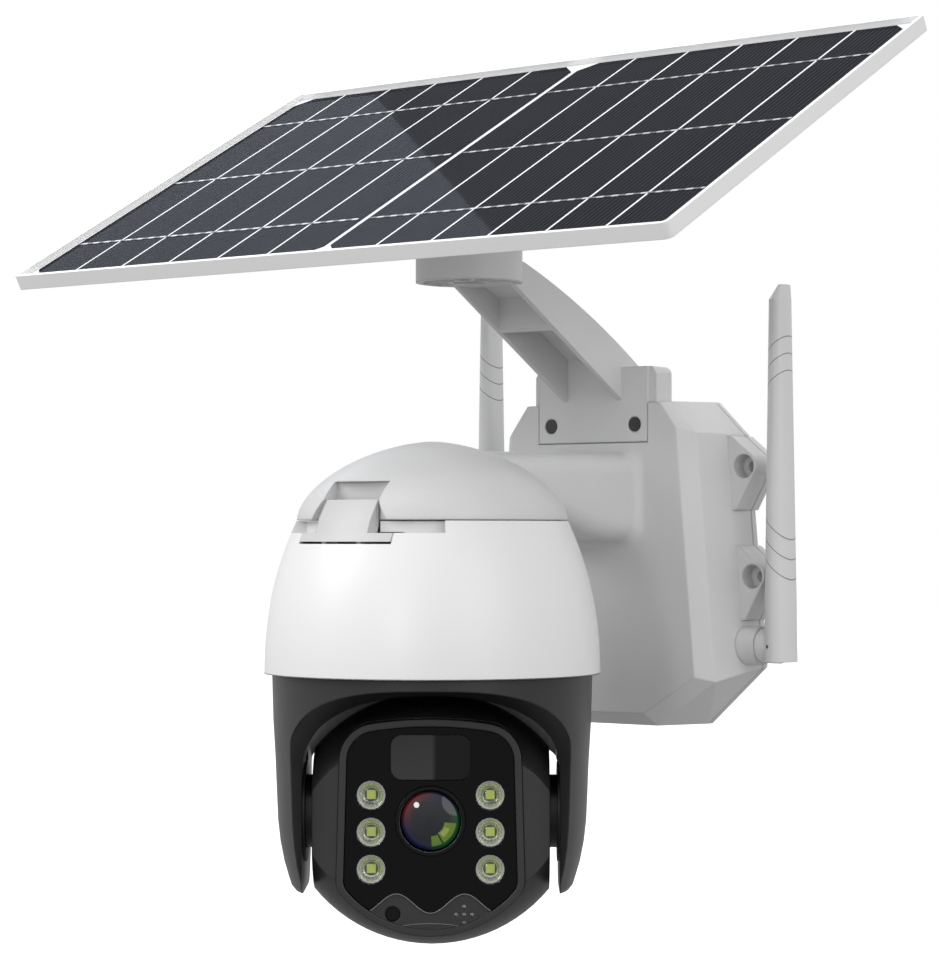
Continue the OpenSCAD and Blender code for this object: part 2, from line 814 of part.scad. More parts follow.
module pan_pinion() color(BLACK) at_pan_pinion()
    translate([0, 0, pan_gear_z + 0.5]) rotate([0, 0, 180])
        gear(pan_pinion_teeth, pan_gear_t, 2.5 + run);

module pan_gear() color("ivory") translate([0, -dome_y, pan_gear_z])
    rotate([0, 0, pinion_at + 180 / pan_teeth]) gear(pan_teeth, pan_gear_t, gear_seat_r + run);

module pan_bearing() color(STEEL) translate([0, -dome_y, hub_low + 0.2]) difference() {
    cylinder(r = bearing_r, h = bearing_t);
    translate([0, 0, -1]) cylinder(r = spindle_r + run, h = bearing_t + 2);
}

module main_board() color(BOARD) translate([0, -dome_y, -12]) difference() {
    cylinder(r = 38, h = 1.6);
    translate([0, 0, -1]) cylinder(r = 9, h = 4);
    rotate([0, 0, pinion_at]) translate([36, 0, -1]) cylinder(r = 16, h = 4);
}

// ---------- fork ----------

yoke_top = -56.5;
yoke_pts = [
    [yoke_r, -59], [61.3, -77], [60.4, -92], [59.9, -104], [59.4, -115], [58.5, -123],
    [57, -130.7], [55.3, -136.4], [54.3, -139.6], [52.8, -141.5], [50.8, -142]
];

// Opening between the arms: half width w, crown at height top, roundness e
arch_foot = -95;
back_crown = -84;

module arch(w, top, e) {
    polygon(mirror_pts(concat(
        [for (a = [90:-6:0]) [w * pow(cos(a), e), arch_foot + (top - arch_foot) * pow(sin(a), e)]],
        [[w, -160]]
    )));
}

module arch_in() {
    arch(yoke_gap + 0.8, -66.6, 0.87);
}

module arch_out() {
    arch(yoke_gap + 5.6, -63, 0.7);
}

// The opening has a bevelled rim in front. At the back the fork closes over the head's top
module arch_cut() {
    rotate([90, 0, 0]) linear_extrude(80) arch_in();
    rotate([90, 0, 0]) {
        hull() {
            translate([0, 0, 25]) linear_extrude(eps) arch_in();
            translate([0, 0, 30.5]) linear_extrude(eps) arch_out();
        }
        translate([0, 0, 30.5]) linear_extrude(50) arch_out();
    }
    rotate([90, 0, 180]) linear_extrude(80) arch(yoke_gap + 0.8, back_crown, 0.87);
}

// Space above the arch, open at the top, with ribs across it
module yoke_hollow() {
    difference() {
        translate([0, 0, -88]) cylinder(r = yoke_r - 5, h = 60);
        rotate([90, 0, 0]) linear_extrude(80) arch(yoke_gap + 3.4, -63.6, 0.87);
        rotate([90, 0, 0]) translate([0, 0, 25]) linear_extrude(60)
            arch(yoke_gap + 8, -60.6, 0.7);
        rotate([90, 0, 180]) linear_extrude(80) arch(yoke_gap + 3.4, back_crown + 2.6, 0.87);
        translate([0, 0, -tilt_z]) barrel(5.4, yoke_gap + 2.4);
        for (a = [0, 45, 90, 135]) rotate([0, 0, a]) translate([-70, -1, -100])
            cube([140, 2, 80]);
    }
}

module yoke() color(BLACK) at_camera() difference() {
    union() {
        difference() {
            rotate_extrude($fn = 128) polygon(concat(
                [[0, yoke_top], [60.4, yoke_top], [60.4, -58.7]], yoke_pts, [[0, -142]]
            ));
            arch_cut();
            yoke_hollow();
        }
        // Spindle, with a shoulder and a seat for the pan gear
        translate([0, 0, yoke_top - 8]) cylinder(r = 16, h = pan_gear_z - yoke_top + 7.9);
        translate([0, 0, yoke_top]) cylinder(r = gear_seat_r, h = -45.3 - yoke_top);
        translate([0, 0, yoke_top]) cylinder(r = spindle_r, h = spindle_top - yoke_top);
    }
    // Room for the head to turn in
    translate([0, 0, -tilt_z]) barrel(3, yoke_gap);
    translate([0, 0, -tilt_z]) {
        rod_x(axle_r, -57, 57);
        both_sides() rod_x(hub_r + 5.5, yoke_gap - 1, yoke_gap + 1.6);
        // Hollow arms, open behind their covers
        both_sides() difference() {
            rod_x(hub_r + 2, yoke_gap, 55);
            rod_x(axle_r + 3, 0, 60);
        }
    }
    translate([0, 0, -70]) cylinder(r = spindle_bore_r, h = 45);
}

// Ring that holds the spindle up on the chassis
module pan_retainer() color(STEEL) translate([0, -dome_y, chassis_z + 3.3]) difference() {
    cylinder(r = 14.5, h = 2);
    translate([0, 0, -1]) cylinder(r = spindle_r + run, h = 4);
}

// ---------- head ----------

// Outer line of the head, a barrel about the tilt axis, grown by g and w to each side
side_r = 27.3;
bow = head_r - side_r;
barrel_r = (head_w * head_w + bow * bow) / (2 * bow);

function barrel_pts(g, w) = let (r = barrel_r + g, a = asin(w / r)) concat(
    [[0, -w]],
    arc([head_r - barrel_r, 0], r, -a, a, 24),
    [[0, w]]
);

module barrel(g, w) {
    rotate([0, 90, 0]) rotate_extrude($fn = 96) polygon(barrel_pts(g, w));
}

shell_split = 8;
mic_at = [12.6, -36.4];
mic_r = 4.2;
cut_d = 22;
bezel_in = 2.8;
pir_w = 29.8;
pir_h = 16.8;
cheek_x = 33;
cheek_a = 26;

// Outline of the bezel set in by i, as X-Z points about the tilt axis
function face_half(i) = concat(
    arc([0, -105.2], 142.3 - i, 90, 82, 3),
    arc([20.2, 21.5], 14 - i, 76, 4, 9),
    arc([26.4, -23.4], 9 - i, -2, -37, 4),
    arc([0, 0], 44.3 - i, -46, -90, 9)
);

module face_outline(i) {
    polygon(mirror_pts(face_half(i)));
}

// Lower edge of the glass: a wave with its lowest point in the middle
wave_z = -32;
wave_h = 3.6;
wave_l = 25.6;

module wave_area(up) {
    polygon(concat(
        [for (x = [-46:1:46]) [x, wave_z + up - wave_h * cos(360 * min(abs(x), wave_l) / wave_l)]],
        [[46, 60], [-46, 60]]
    ));
}

// Extrudes a face outline between two distances from the pan axis
module on_face(d0, d1) {
    translate([0, -d0, 0]) rotate([90, 0, 0]) linear_extrude(d1 - d0) children();
}

module head_fill(g) {
    translate([0, 0, -head_drop]) barrel(g, head_w + g);
}

module head_front_shell() color(BLACK) at_head() difference() {
    head_fill(0);
    difference() {
        head_fill(-wall);
        on_face(cut_d + 2, 80) square([120, 120], center = true);
        both_sides() rod_x(9, 36, head_w);
        at_head_screws() rod_y(head_post_r, -shell_split - 1, 6);
        // Saddles for the tilt motor
        for (x = [5, 21]) translate([x, -9, -60]) cube([2.4, 18, 60 - 26]);
    }
    translate([0, 0, tilt_motor_z]) rod_x(tilt_motor_r, 0, 30);
    at_head_screws() rod_y(head_screw_r, -20, 6.5);
    translate([-80, shell_split, -80]) cube([160, 80, 160]);
    on_face(face_d - 1.2, 80) square([120, 120], center = true);
    on_face(cut_d - bezel_in - 0.1, 80) face_outline(-0.15);
    // The face falls away from the bezel to both sides
    both_sides() translate([cheek_x, 1 - face_d, -60]) rotate([0, 0, cheek_a])
        translate([0, -30, 0]) cube([30, 30, 120]);
    rod_x(axle_r + run, -60, 60);
}

module head_rear_shell() color(BLACK) at_head() difference() {
    head_fill(0);
    difference() {
        head_fill(-wall);
        at_head_screws() rod_y(head_post_r + 0.8, -30, 10);
    }
    at_head_screws() rod_y(head_screw_r + 0.3, -20, 10);
    at_head_screws() rod_y(head_screw_head_r + 0.3, -40, -12);
    translate([-80, shell_split - 160 + 0.2, -80]) cube([160, 160, 160]);
}

// Puts the children on the four screws that join the two shells from behind
module at_head_screws() {
    both_sides() for (z = head_screw_z) translate([head_screw_x, 0, z]) children();
}

module tilt_hubs() color(BLACK) at_head() both_sides() difference() {
    rod_x(hub_r, head_w, yoke_gap + 1.2);
    rod_x(axle_r + run, 40, 60);
}

module face_bezel() color(BLACK) at_head() difference() {
    on_face(cut_d - bezel_in, face_d) face_outline(0);
    on_face(cut_d - 5, face_d - 4.6) intersection() {
        face_outline(4.5);
        translate([-50, -34]) square([100, 90]);
    }
    on_face(face_d - 3.4, face_d + 1) intersection() {
        face_outline(2.6);
        wave_area(0);
    }
    on_face(face_d - 1.6, face_d + 1) face_outline(2.6);
    on_face(cut_d - 5, face_d + 1) {
        translate([0, -1]) circle(r = lens_r - 1);
        translate([-14.2, -36]) circle(r = 2.9);
        for (p = [[0, 0], [3, 0], [-3, 0], [0, 3], [0, -3]])
            translate(mic_at + p) circle(r = 0.9, $fn = 24);
        translate([0, 22.8]) square([20, 12], center = true);
    }
    translate([mic_at[0], 0, mic_at[1]]) rod_y(mic_r + gap, cut_d - 5, face_d - 5.2);
    led_bores(led_r - 0.6, cut_d - 5, face_d + 1);
}

module led_bores(r, d0, d1) {
    both_sides() for (k = [-1:1]) translate([led_x, 0, -5.4 + k * led_pitch])
        rod_y(r, d0, d1);
}

module face_glass() color([0.02, 0.02, 0.02]) at_head() difference() {
    on_face(face_d - 3.2, face_d - 0.8) intersection() {
        face_outline(2.9);
        wave_area(0.3);
    }
    on_face(face_d - 5, face_d + 1) translate([0, 22.8]) rounded(pir_w + 0.6, pir_h + 0.6, 4.5);
    translate([0, 0, -1]) rod_y(lens_r + 0.2, face_d - 5, face_d + 1);
    led_bores(led_r + 0.2, face_d - 5, face_d + 1);
}

module pir_window() color([0.1, 0.1, 0.1]) at_head() on_face(face_d - 3.2, face_d - 0.9)
    translate([0, 22.8]) rounded(pir_w, pir_h, 4.2);

module pir_sensor() color(STEEL) at_head() translate([0, 0, 22.8]) rod_y(4.2, face_d - 9, face_d - 4);

module lens_ring() color(BLACK) at_head() translate([0, 0, -1]) difference() {
    rod_y(lens_r, face_d - 3.2, face_d + 0.4);
    rod_y(lens_r - 1.3, face_d - 4, face_d + 1);
}

module lens_barrel() color(BLACK) at_head() translate([0, 0, -1]) difference() {
    rod_y(lens_r - 1.4, face_d - 18, face_d - 2.4);
    rod_y(lens_r - 3, face_d - 14, face_d);
}

module lens_glass() color([0.2, 0.3, 0.4, 0.5]) at_head() translate([0, 0, -1])
    translate([0, -face_d + 2.2, 0]) rotate([90, 0, 0]) intersection() {
        translate([0, 0, -24]) sphere(r = 26.2, $fn = 96);
        cylinder(r = lens_r - 1.5, h = 6);
    }

module image_board() color(BOARD) at_head() translate([-15, -face_d + 18.2, -16])
    cube([30, 1.6, 30]);

module led_board() color(BOARD) at_head() difference() {
    on_face(face_d - 7.4, face_d - 5.8) intersection() {
        face_outline(6.2);
        translate([-50, -26]) square([100, 40]);
    }
    translate([0, 0, -1]) rod_y(lens_r, 10, 40);
}

module led_chips() color("gold") at_head() both_sides() for (k = [-1:1])
    translate([led_x - 1.7, -face_d + 4.5, -5.4 + k * led_pitch - 1.7]) cube([3.4, 1.2, 3.4]);

module led_lenses() color([0.9, 0.95, 0.9, 0.4]) at_head() both_sides() for (k = [-1:1])
    translate([led_x, -face_d, -5.4 + k * led_pitch]) rotate([90, 0, 0]) {
        translate([0, 0, -3.1]) cylinder(r = led_r, h = 2.4);
        intersection() {
            translate([0, 0, -8.6]) sphere(r = 9.6, $fn = 48);
            translate([0, 0, -1]) cylinder(r = led_r, h = 4);
        }
    }

module light_sensor() color([0.05, 0.05, 0.05]) at_head() translate([-14.2, 0, -36])
    rod_y(2.8, face_d - 6, face_d - 2.6);

module microphone() color(STEEL) at_head() translate([mic_at[0], 0, mic_at[1]])
    rod_y(mic_r, face_d - 9.2, face_d - 5.6);

module head_screws() color(STEEL) at_head() at_head_screws() {
    rod_y(head_screw_head_r, -13.7, -12);
    rod_y(head_screw_r, -12, 5);
}

module tilt_axles() color(STEEL) at_head() both_sides() rod_x(axle_r, 31, 56.6);

module tilt_gear() color("ivory") at_head() translate([32, 0, 0]) rotate([90, 0, 90])
    rotate([0, 0, 90]) gear(tilt_teeth, 3.6, axle_r + run);

module tilt_motor() color(STEEL) at_head() translate([0, 0, tilt_motor_z]) {
    rod_x(tilt_motor_r - run, 2, 27);
    rod_x(2, 27, 36);
}

module tilt_pinion() color(BLACK) at_head() translate([32, 0, tilt_motor_z])
    rotate([90, 0, 90]) rotate([0, 0, 90 + 15]) gear(tilt_pinion_teeth, 3.4, 2 + run);

module arm_covers() color(BLACK) at_head() both_sides() difference() {
    rod_x(hub_r + 5.2, yoke_gap + 0.05, yoke_gap + 1.5);
    rod_x(hub_r + 0.4, 40, 60);
}

// ---------- antennas ----------

module antenna_bases() color(HOUSING) both_sides() translate([0, -ant_d, -ant_z]) difference() {
    union() {
        rod_x(7.9, 60.3, 66.3);
        rod_x(4.9, 52, 62);
        intersection() {
            rod_x(7.9, 56, 62);
            translate([0, ant_d, ant_z]) difference() {
                translate([50, -40, -70]) cube([20, 40, 40]);
                box_fill(-0.1, seam_d);
            }
        }
    }
    rod_x(3 + run, 40, 70);
}

module antenna_nuts() color(STEEL) both_sides() translate([0, -ant_d, -ant_z]) difference() {
    rod_x(7.5, 50.2, 53.6, $fn = 6);
    rod_x(4.95, 40, 60);
}

module antenna_side() {
    translate([ant_x, -ant_d, -ant_z]) difference() {
        union() {
            hull() {
                translate([0, 0, -6.3]) linear_extrude(eps) scale([1, 1.4]) circle(r = 6);
                translate([0, 0, ant_h - 6.5]) linear_extrude(eps) scale([0.67, 0.94]) circle(r = 6);
                translate([2, 0, ant_h - 0.5]) linear_extrude(eps) scale([0.3, 0.6]) circle(r = 6);
            }
            rod_x(7, 66.6 - ant_x, 0);
            rod_x(3, 54 - ant_x, 0);
        }
        translate([-1.5, 0, 0]) rod_y(0.8, 0, 20);
    }
}

module antenna_right() color(HOUSING) antenna_side();
module antenna_left() color(HOUSING) mirror([1, 0, 0]) antenna_side();

module antenna_contacts() color(STEEL) both_sides() translate([0, -ant_d, -ant_z])
    rod_x(2.2, 50, 53.9);

front_housing();
rear_cover();
box_gasket();
box_screws();
battery_tray();
battery_cells();
charge_board();
bracket_arm();
bracket_screws();
antenna_bases();
antenna_nuts();
dome_shell();
chassis();
chassis_screws();
pan_motor();
pan_bearing();
main_board();
latch_pin();
front_latch();
pan_pinion();
yoke();
pan_gear();
pan_retainer();
tilt_axles();
arm_covers();
tilt_gear();
tilt_motor();
tilt_pinion();
head_front_shell();
head_rear_shell();
tilt_hubs();
face_bezel();
face_glass();
pir_window();
pir_sensor();
lens_ring();
lens_barrel();
lens_glass();
image_board();
led_board();
led_chips();
led_lenses();
light_sensor();
microphone();
head_screws();
panel_swivel();
swivel_screw();
tilt_bolt();
tilt_knob();
panel_bracket();
bracket_rivets();
panel_frame();
backsheet();
solar_cells();
ribbons();
panel_glass();
junction_box();
antenna_left();
antenna_right();
antenna_contacts();
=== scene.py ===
import json
import math

import bpy
from mathutils import Matrix, Vector


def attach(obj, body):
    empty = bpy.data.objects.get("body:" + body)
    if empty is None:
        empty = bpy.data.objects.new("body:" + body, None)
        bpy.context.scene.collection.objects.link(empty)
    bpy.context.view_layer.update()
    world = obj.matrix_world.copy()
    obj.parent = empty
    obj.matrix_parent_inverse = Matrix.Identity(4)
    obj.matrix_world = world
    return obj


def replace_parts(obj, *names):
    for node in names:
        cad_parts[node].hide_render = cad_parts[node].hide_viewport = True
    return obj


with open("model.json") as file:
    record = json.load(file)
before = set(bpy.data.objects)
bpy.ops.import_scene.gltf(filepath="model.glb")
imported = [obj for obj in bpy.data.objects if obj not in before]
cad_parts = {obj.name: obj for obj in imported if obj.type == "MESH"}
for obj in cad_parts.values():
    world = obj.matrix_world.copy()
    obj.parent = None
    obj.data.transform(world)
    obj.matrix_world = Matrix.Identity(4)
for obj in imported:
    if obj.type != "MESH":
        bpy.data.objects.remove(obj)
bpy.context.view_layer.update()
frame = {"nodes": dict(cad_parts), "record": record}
nodes = frame["nodes"]

# ---------- measures that the CAD model also has, in metres and radians ----------

DOME = Vector((0.0, -0.1435, 0.0))          # on the pan axis, level with the origin
TILT_Z = -0.112                             # tilt axis, from the origin
PAN = math.radians(38.5)                    # turn of the camera at rest
FACE = 0.0315                               # pan axis to the bezel's front
LENS_Z = -0.001                             # lens, from the tilt axis
LENS_R = 0.0115                             # radius of the front lens
LED_X, LED_Z, LED_PITCH = 0.0224, -0.0054, 0.0139
WAVE_Z, WAVE_H, WAVE_L = -0.032, 0.0036, 0.0256
ANTENNA_X = 0.075
PANEL_AT = Vector((0.0, -0.121, 0.124))     # the panel's tilt bolt
PANEL_TILT = math.radians(28.8)
PANEL_DY = 0.0029                           # the panel's middle, from its bolt
GLASS_TOP = 0.0218                          # top of the panel's glass, above its bolt
HALVES_APART = 0.1582                       # between the middles of the two halves of cells
STRIPS, STRIP_PITCH, STRIP_L, STRIP_GAP = 6, 0.026, 0.1876, 0.001

HEAD = Matrix.Translation(DOME + Vector((0, 0, TILT_Z))) @ Matrix.Rotation(PAN, 4, "Z")
PANEL = Matrix.Translation(PANEL_AT) @ Matrix.Rotation(PANEL_TILT, 4, "X")

# ---------- measures of the looks ----------

CLOUD_SCALE, GLOSS_SCALE, GRAIN_SCALE = 14, 60, 2600    # noise, from broad to fine
FINGER_PITCH = 0.0022                       # fine lines on the cells
RIBBON_DASH = 0.0064                        # one solder pad and the gap after it

# Groups of grooves on an antenna: lowest edge, height between grooves, and slope
GROOVE_GROUPS = ((0.0537, 0.007, -0.88), (-0.0222, 0.008, 1.0))
GROOVES_EACH = 3.0

# Painted coloured reflections at the lens's rim, each round an angle from its right-hand side
PAINTED_RIM_REFLECTIONS = (
    (2.5, (0.16, 0.016, 0.02)),
    (-2.3, (0.008, 0.012, 0.06)),
    (0.75, (0.008, 0.014, 0.05)),
    (-0.5, (0.01, 0.10, 0.025)),
)
# Painted lens reflections: first and last angle, inner and outer edge as shares of its radius
PAINTED_GLINTS = (
    (-1.02, -0.1, 0.46, 0.84, (0.17, 0.27, 0.03)),
    (-1.52, -1.1, 0.5, 0.84, (0.15, 0.25, 0.03)),
    (-0.9, -0.4, 0.5, 0.68, (0.34, 0.46, 0.09)),
)


# ---------- materials ----------

class Shader:
    """A Principled material with its node tree at hand."""

    def __init__(self, name, color, rough, metal=0.0, **sockets):
        self.mat = bpy.data.materials.new(name)
        self.mat.use_nodes = True
        self.tree = self.mat.node_tree
        self.p = self.tree.nodes["Principled BSDF"]
        self.set("Base Color", (*color, 1))
        self.set("Roughness", rough)
        self.set("Metallic", metal)
        for k, v in sockets.items():
            self.set(k.replace("_", " "), v)

    def set(self, socket, value):
        self.p.inputs[socket].default_value = value

    def node(self, kind, **inputs):
        n = self.tree.nodes.new(kind)
        for k, v in inputs.items():
            n.inputs[k.replace("_", " ")].default_value = v
        return n

    def link(self, a, b):
        self.tree.links.new(a, b)

    def math(self, op, a, b=None):
        n = self.tree.nodes.new("ShaderNodeMath")
        n.operation = op
        for i, v in enumerate((a, b)):
            if v is None:
                continue
            if isinstance(v, (int, float)):
                n.inputs[i].default_value = v
            else:
                self.link(v, n.inputs[i])
        return n.outputs[0]

    def coords(self, matrix=None):
        """Object coordinates, in the frame of the given matrix if there is one."""
        out = self.tree.nodes.new("ShaderNodeTexCoord").outputs["Object"]
        if matrix is None:
            return out
        inv = matrix.inverted()
        m = self.tree.nodes.new("ShaderNodeMapping")
        m.inputs["Location"].default_value = inv.translation
        m.inputs["Rotation"].default_value = inv.to_euler()
        self.link(out, m.inputs["Vector"])
        return m.outputs[0]

    def noise(self, scale, detail, vector=None):
        n = self.node("ShaderNodeTexNoise", Scale=scale, Detail=detail)
        self.link(vector or self.coords(), n.inputs["Vector"])
        return n.outputs["Fac"]

    def ramp(self, value, start, end, low=0.0, high=1.0):
        """Goes from low to high as the value goes from start to end."""
        r = self.tree.nodes.new("ShaderNodeMapRange")
        for i, v in zip((1, 2, 3, 4), (start, end, low, high)):
            r.inputs[i].default_value = v
        self.link(value, r.inputs[0])
        return r.outputs[0]

    def spread(self, noise, low, high):
        """Spreads a noise's usual range of 0.3 to 0.7 from low to high."""
        return self.ramp(noise, 0.3, 0.7, low, high)

    def blend(self, fac, a, b):
        m = self.tree.nodes.new("ShaderNodeMix")
        m.data_type = "RGBA"
        for i, v in ((6, a), (7, b)):
            if isinstance(v, tuple):
                m.inputs[i].default_value = (*v, 1)
            else:
                self.link(v, m.inputs[i])
        self.link(fac, m.inputs[0])
        return m.outputs[2]

    def between(self, value, low, high):
        """1 where a value lies between two limits, else 0."""
        return self.math("MULTIPLY", self.math("GREATER_THAN", value, low),
                         self.math("LESS_THAN", value, high))

    def axes(self, vector):
        sep = self.tree.nodes.new("ShaderNodeSeparateXYZ")
        self.link(vector, sep.inputs[0])
        return sep.outputs

    def bump(self, height, strength, distance, edge=0.0):
        """Surface relief, over edges rounded to the given radius."""
        b = self.node("ShaderNodeBump", Strength=strength, Distance=distance)
        self.link(height, b.inputs["Height"])
        if edge:
            soft = self.node("ShaderNodeBevel", Radius=edge)
            soft.samples = 4
            self.link(soft.outputs[0], b.inputs["Normal"])
        self.link(b.outputs[0], self.p.inputs["Normal"])


def shade(color, factor):
    """A colour made lighter or darker, up to white."""
    return tuple(min(1, c * factor) for c in color)


def moulded(name, color, rough, grain, tone=0.05, edge=0.0004, wear=0.03, **sockets):
    """Moulded plastic: a fine spark-eroded grain, and faint tone and gloss changes."""
    s = Shader(name, color, rough, **sockets)
    cloud = s.spread(s.noise(CLOUD_SCALE, 2), 0, 1)
    s.link(s.blend(cloud, shade(color, 1 - tone), shade(color, 1 + tone)),
           s.p.inputs["Base Color"])
    s.link(s.spread(s.noise(GLOSS_SCALE, 4), rough - wear, rough + wear),
           s.p.inputs["Roughness"])
    s.bump(s.noise(GRAIN_SCALE, 2), grain, 0.00004, edge)
    return s.mat


def antenna(name, color, rough):
    """Satin plastic with two groups of three slanting grooves, with painted shade in them."""
    groove, wear, grain = (0.47, 0.53), 0.05, 0.1
    s = Shader(name, color, rough)
    x, _, z = s.axes(s.coords())
    out = s.math("SUBTRACT", s.math("ABSOLUTE", x), ANTENNA_X)
    groove_and_shade = None
    for low, pitch, slope in GROOVE_GROUPS:
        h = s.math("ADD", z, s.math("MULTIPLY", out, slope))
        step = s.math("DIVIDE", s.math("SUBTRACT", h, low), pitch)
        line = s.math("MULTIPLY", s.between(s.math("FRACT", step), *groove),
                      s.between(step, 0.0, GROOVES_EACH))
        groove_and_shade = line if groove_and_shade is None else s.math("MAXIMUM", groove_and_shade, line)
    tone = s.blend(s.spread(s.noise(CLOUD_SCALE, 2), 0, 1), shade(color, 0.96), color)
    # Painted shade: the grooves are coloured at 35 % of the plastic's colour.
    s.link(s.blend(groove_and_shade, tone, shade(color, 0.35)), s.p.inputs["Base Color"])
    s.link(s.spread(s.noise(GLOSS_SCALE, 4), rough - wear, rough + wear),
           s.p.inputs["Roughness"])
    relief = s.math("MULTIPLY", s.noise(GRAIN_SCALE, 2), grain)
    s.bump(s.math("SUBTRACT", relief, groove_and_shade), 0.5, 0.0003, 0.0004)
    return s.mat


def window(name):
    """Smoked infrared window, with a painted reflection that makes its left half a little
    paler.
    """
    reflection_start, reflection_end = 0.0004, 0.0022
    s = Shader(name, (0.01, 0.01, 0.011), 0.12, Specular_IOR_Level=0.3)
    # Painted reflection: paler grey over the left half, nearly black over the right half.
    side = s.ramp(s.axes(s.coords(HEAD))[0], reflection_start, reflection_end)
    pale = s.blend(s.spread(s.noise(30, 2), 0, 1), (0.034, 0.034, 0.035), (0.04, 0.04, 0.041))
    s.link(s.blend(side, pale, (0.0015, 0.0015, 0.0015)), s.p.inputs["Base Color"])
    s.bump(s.noise(400, 2), 0.02, 0.00002, 0.0004)
    return s.mat


def lens_element_painted_reflections(name):
    """Dark coated element with painted red, blue and green rim reflections and greenish
    glints.
    """
    s = Shader(name, (0.01, 0.012, 0.016), 0.03, IOR=1.5)
    x, _, z = s.axes(s.coords(HEAD))
    up = s.math("SUBTRACT", z, LENS_Z)
    flat = s.math("ADD", s.math("MULTIPLY", x, x), s.math("MULTIPLY", up, up))
    r = s.math("DIVIDE", s.math("SQRT", flat), LENS_R)
    turn = s.math("ARCTAN2", up, x)
    look = s.blend(s.ramp(r, 0.1, 0.6), (0.007, 0.011, 0.015), (0.014, 0.015, 0.019))
    # Painted reflections: coloured lobes round the rim, then greenish glints over them.
    rim = s.ramp(r, 0.62, 0.86)
    for aim, reflection_tint in PAINTED_RIM_REFLECTIONS:
        lobe = s.ramp(s.math("COSINE", s.math("SUBTRACT", turn, aim)), 0.35, 0.95)
        look = s.blend(s.math("MULTIPLY", rim, lobe), look, reflection_tint)
    for first, last, inner, outer, reflection_tint in PAINTED_GLINTS:
        painted_glint = s.math("MULTIPLY", s.between(turn, first, last), s.between(r, inner, outer))
        look = s.blend(painted_glint, look, reflection_tint)
    s.link(s.blend(s.spread(s.noise(300, 2), 0, 0.2), look, (0.02, 0.02, 0.02)),
           s.p.inputs["Base Color"])
    return s.mat


def brushed(name, color, rough):
    """Plated steel with fine turning marks and slight dulling."""
    s = Shader(name, color, rough, 1.0)
    s.link(s.spread(s.noise(90, 5), rough - 0.08, rough + 0.12), s.p.inputs["Roughness"])
    s.link(s.blend(s.spread(s.noise(40, 3), 0, 1), shade(color, 0.8), color),
           s.p.inputs["Base Color"])
    s.bump(s.noise(1500, 3), 0.15, 0.00003)
    return s.mat


def circuit(name):
    """Green solder mask over faint copper tracks, with tinned pads."""
    s = Shader(name, (0.01, 0.11, 0.05), 0.35)
    v = s.node("ShaderNodeTexVoronoi", Scale=420)
    v.distance = "MANHATTAN"
    s.link(s.coords(), v.inputs["Vector"])
    pads = s.math("LESS_THAN", v.outputs["Distance"], 0.17)
    tracks = s.math("GREATER_THAN", s.noise(240, 1), 0.5)
    green = s.blend(tracks, (0.008, 0.09, 0.04), (0.02, 0.17, 0.08))
    s.link(s.blend(pads, green, (0.6, 0.6, 0.58)), s.p.inputs["Base Color"])
    return s.mat


def solar(name):
    """Dark silicon with fine finger lines along each strip, under a thin glossy coat."""
    s = Shader(name, (0.01, 0.012, 0.018), 0.5, Specular_IOR_Level=0.0,
               Coat_Weight=0.11, Coat_Roughness=0.03)
    at = s.coords(PANEL)
    turns = s.math("MULTIPLY", s.axes(at)[0], 2 * math.pi / FINGER_PITCH)
    line = s.math("ADD", s.math("MULTIPLY", s.math("SINE", turns), 0.5), 0.5)
    base = s.blend(s.spread(s.noise(30, 2, at), 0, 1), (0.005, 0.006, 0.010),
                   (0.008, 0.010, 0.016))
    s.link(s.blend(line, base, (0.022, 0.024, 0.03)), s.p.inputs["Base Color"])
    return s.mat


def ribbon(name):
    """Tinned ribbon with the dashed look of solder pads."""
    s = Shader(name, (0.6, 0.62, 0.64), 0.35, 0.4)
    saw = s.math("FRACT", s.math("DIVIDE", s.axes(s.coords(PANEL))[0], RIBBON_DASH))
    s.link(s.blend(s.math("LESS_THAN", saw, 0.5), (0.12, 0.125, 0.13), (0.62, 0.63, 0.65)),
           s.p.inputs["Base Color"])
    return s.mat


def clear(name, color, rough, ior, alpha, **sockets):
    """Clear plastic or glass with slightly uneven polish."""
    s = Shader(name, color, rough, IOR=ior, Alpha=alpha, **sockets)
    s.link(s.spread(s.noise(30, 2), rough, rough + 0.04), s.p.inputs["Roughness"])
    return s.mat


